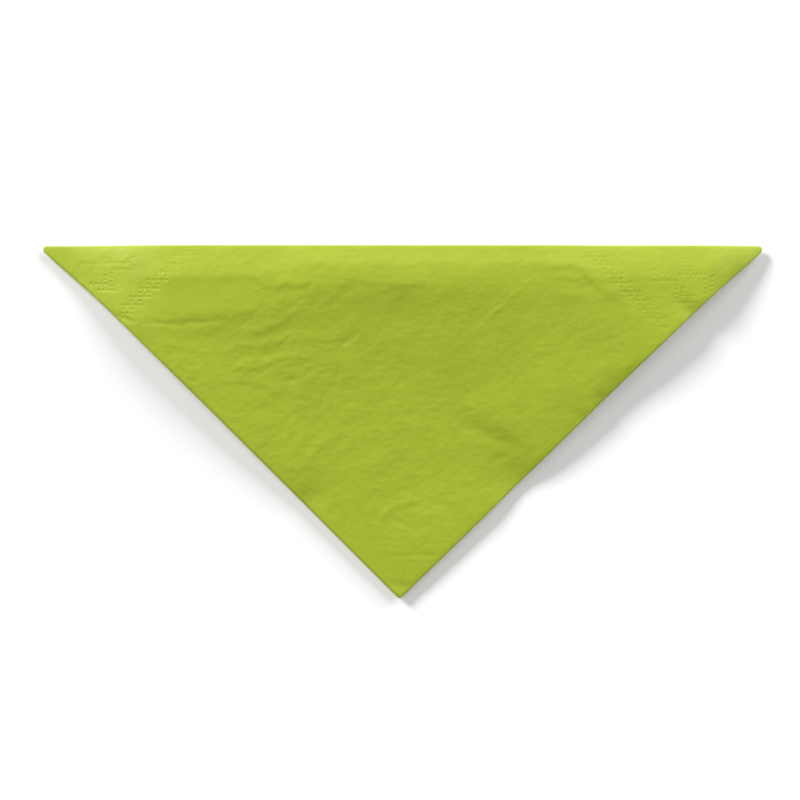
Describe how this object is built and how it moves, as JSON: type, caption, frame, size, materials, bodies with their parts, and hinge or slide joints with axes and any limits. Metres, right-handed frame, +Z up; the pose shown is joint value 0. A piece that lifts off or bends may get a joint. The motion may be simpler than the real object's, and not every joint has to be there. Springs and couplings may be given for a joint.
{
  "type": "paper napkin",
  "caption": "Lime green tissue napkin folded in quarters and then along the diagonal into a flat triangle with a soft rounded back fold, for wiping at table.",
  "frame": {"origin": "under the middle of the napkin's outline, on the surface it lies on", "axes": "+X along the diagonal fold, +Y from the apex towards the diagonal fold, +Z up"},
  "size_m": [0.2318, 0.113, 0.0105],
  "materials": {
    "napkin_paper": "matte creped tissue, dyed lime green, with a pin-dot embossed border"
  },
  "bodies": {
    "root": {"napkin": "napkin_paper"}
  },
  "joints": []
}
